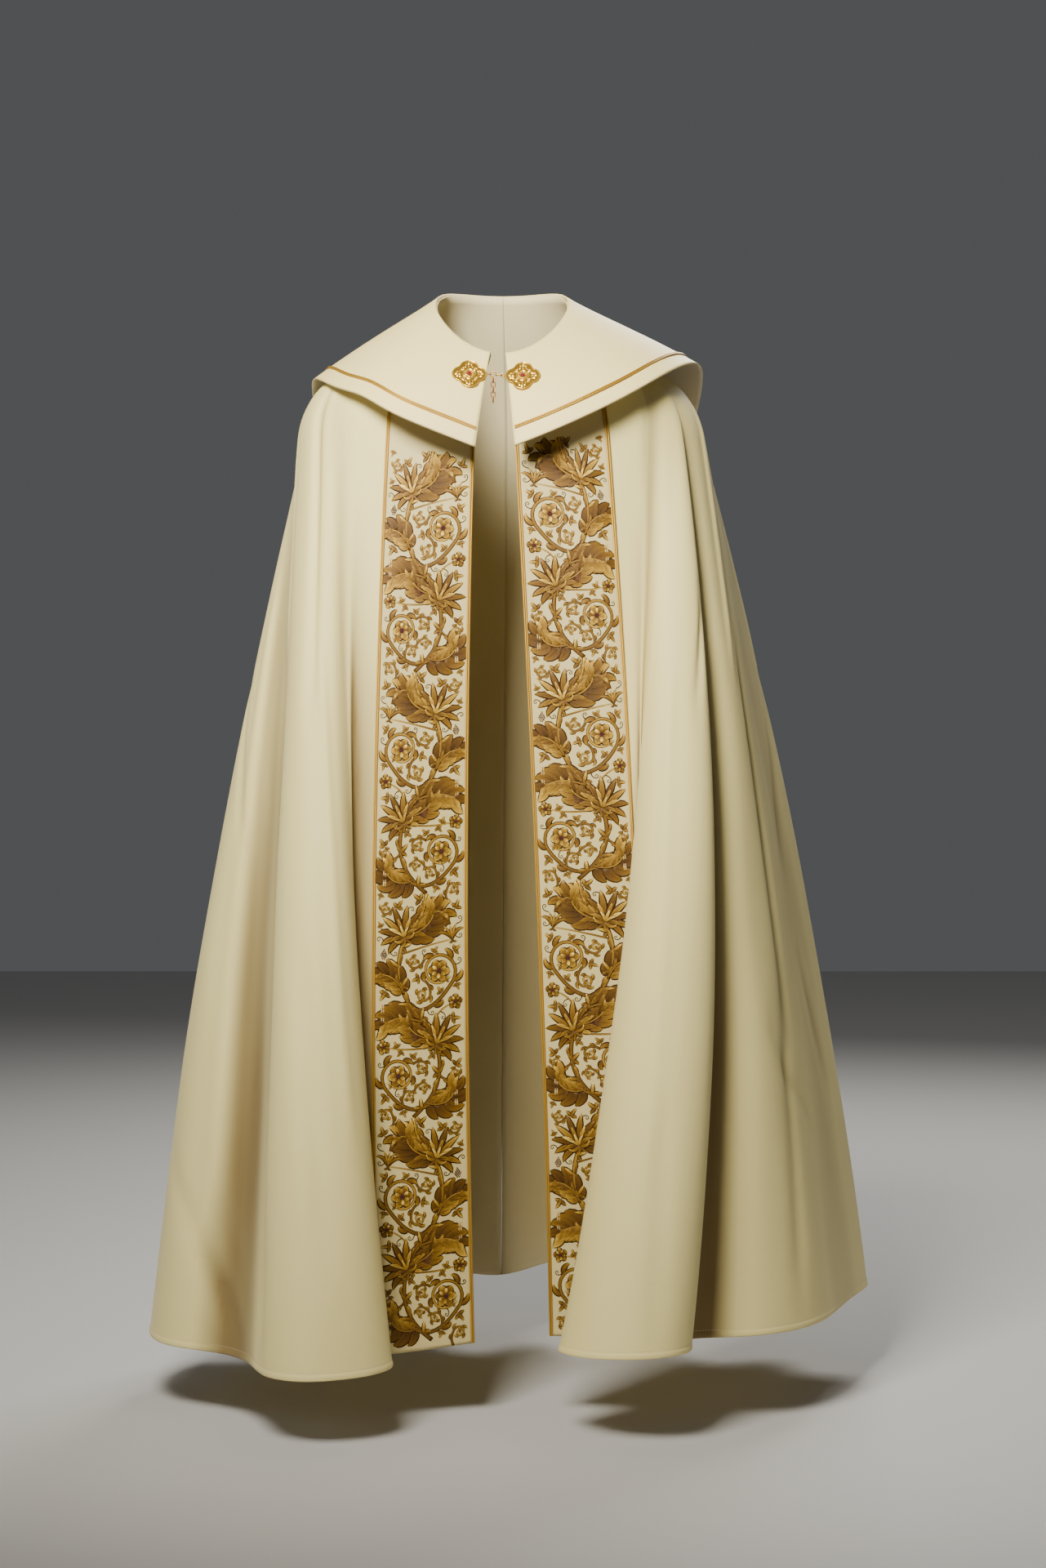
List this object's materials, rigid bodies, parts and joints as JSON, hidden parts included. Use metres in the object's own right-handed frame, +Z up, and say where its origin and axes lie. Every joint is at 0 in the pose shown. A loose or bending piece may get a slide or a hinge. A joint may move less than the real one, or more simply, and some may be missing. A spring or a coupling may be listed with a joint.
{
  "type": "cope vestment",
  "caption": "Semicircular cloth cope worn open in front, with embroidered bands, a broad pointed collar, gold braid and a hooked metal clasp.",
  "frame": {"origin": "the middle of the neck opening, at the height where the cloth rests on the wearer's shoulders", "axes": "+Z up, -Y out of the front, +X towards the wearer's left"},
  "size_m": [0.9881, 0.7998, 1.4063],
  "materials": {
    "mantle_cloth": "soft ivory satin-weave wool blend",
    "orphrey_satin": "silky cream satin",
    "collar_satin": "smooth cream satin",
    "collar_lining": "pale cream lining",
    "gold_braid": "metallic gold thread braid",
    "clasp_gold": "polished gilt",
    "chain_gold": "reddish gilt",
    "clasp_garnet": "dark red cut stone"
  },
  "bodies": {
    "root": {"mantle_right": "mantle_cloth", "mantle_left": "mantle_cloth", "orphrey_right": "orphrey_satin", "orphrey_left": "orphrey_satin", "orphrey_braid_front_right": "gold_braid", "orphrey_braid_outer_right": "gold_braid", "orphrey_braid_front_left": "gold_braid", "orphrey_braid_outer_left": "gold_braid", "collar": "collar_satin", "collar_lining": "collar_lining", "collar_braid": "gold_braid", "clasp_plate_right": "clasp_gold", "clasp_plate_left": "clasp_gold", "clasp_stone_right": "clasp_garnet", "clasp_stone_left": "clasp_garnet", "clasp_eye_right": "clasp_gold", "clasp_eye_left": "clasp_gold", "clasp_ring": "clasp_gold", "clasp_hook": "clasp_gold", "chain_link_1": "chain_gold", "chain_link_2": "chain_gold", "chain_link_3": "chain_gold", "chain_link_4": "chain_gold", "chain_link_5": "chain_gold"}
  },
  "joints": []
}
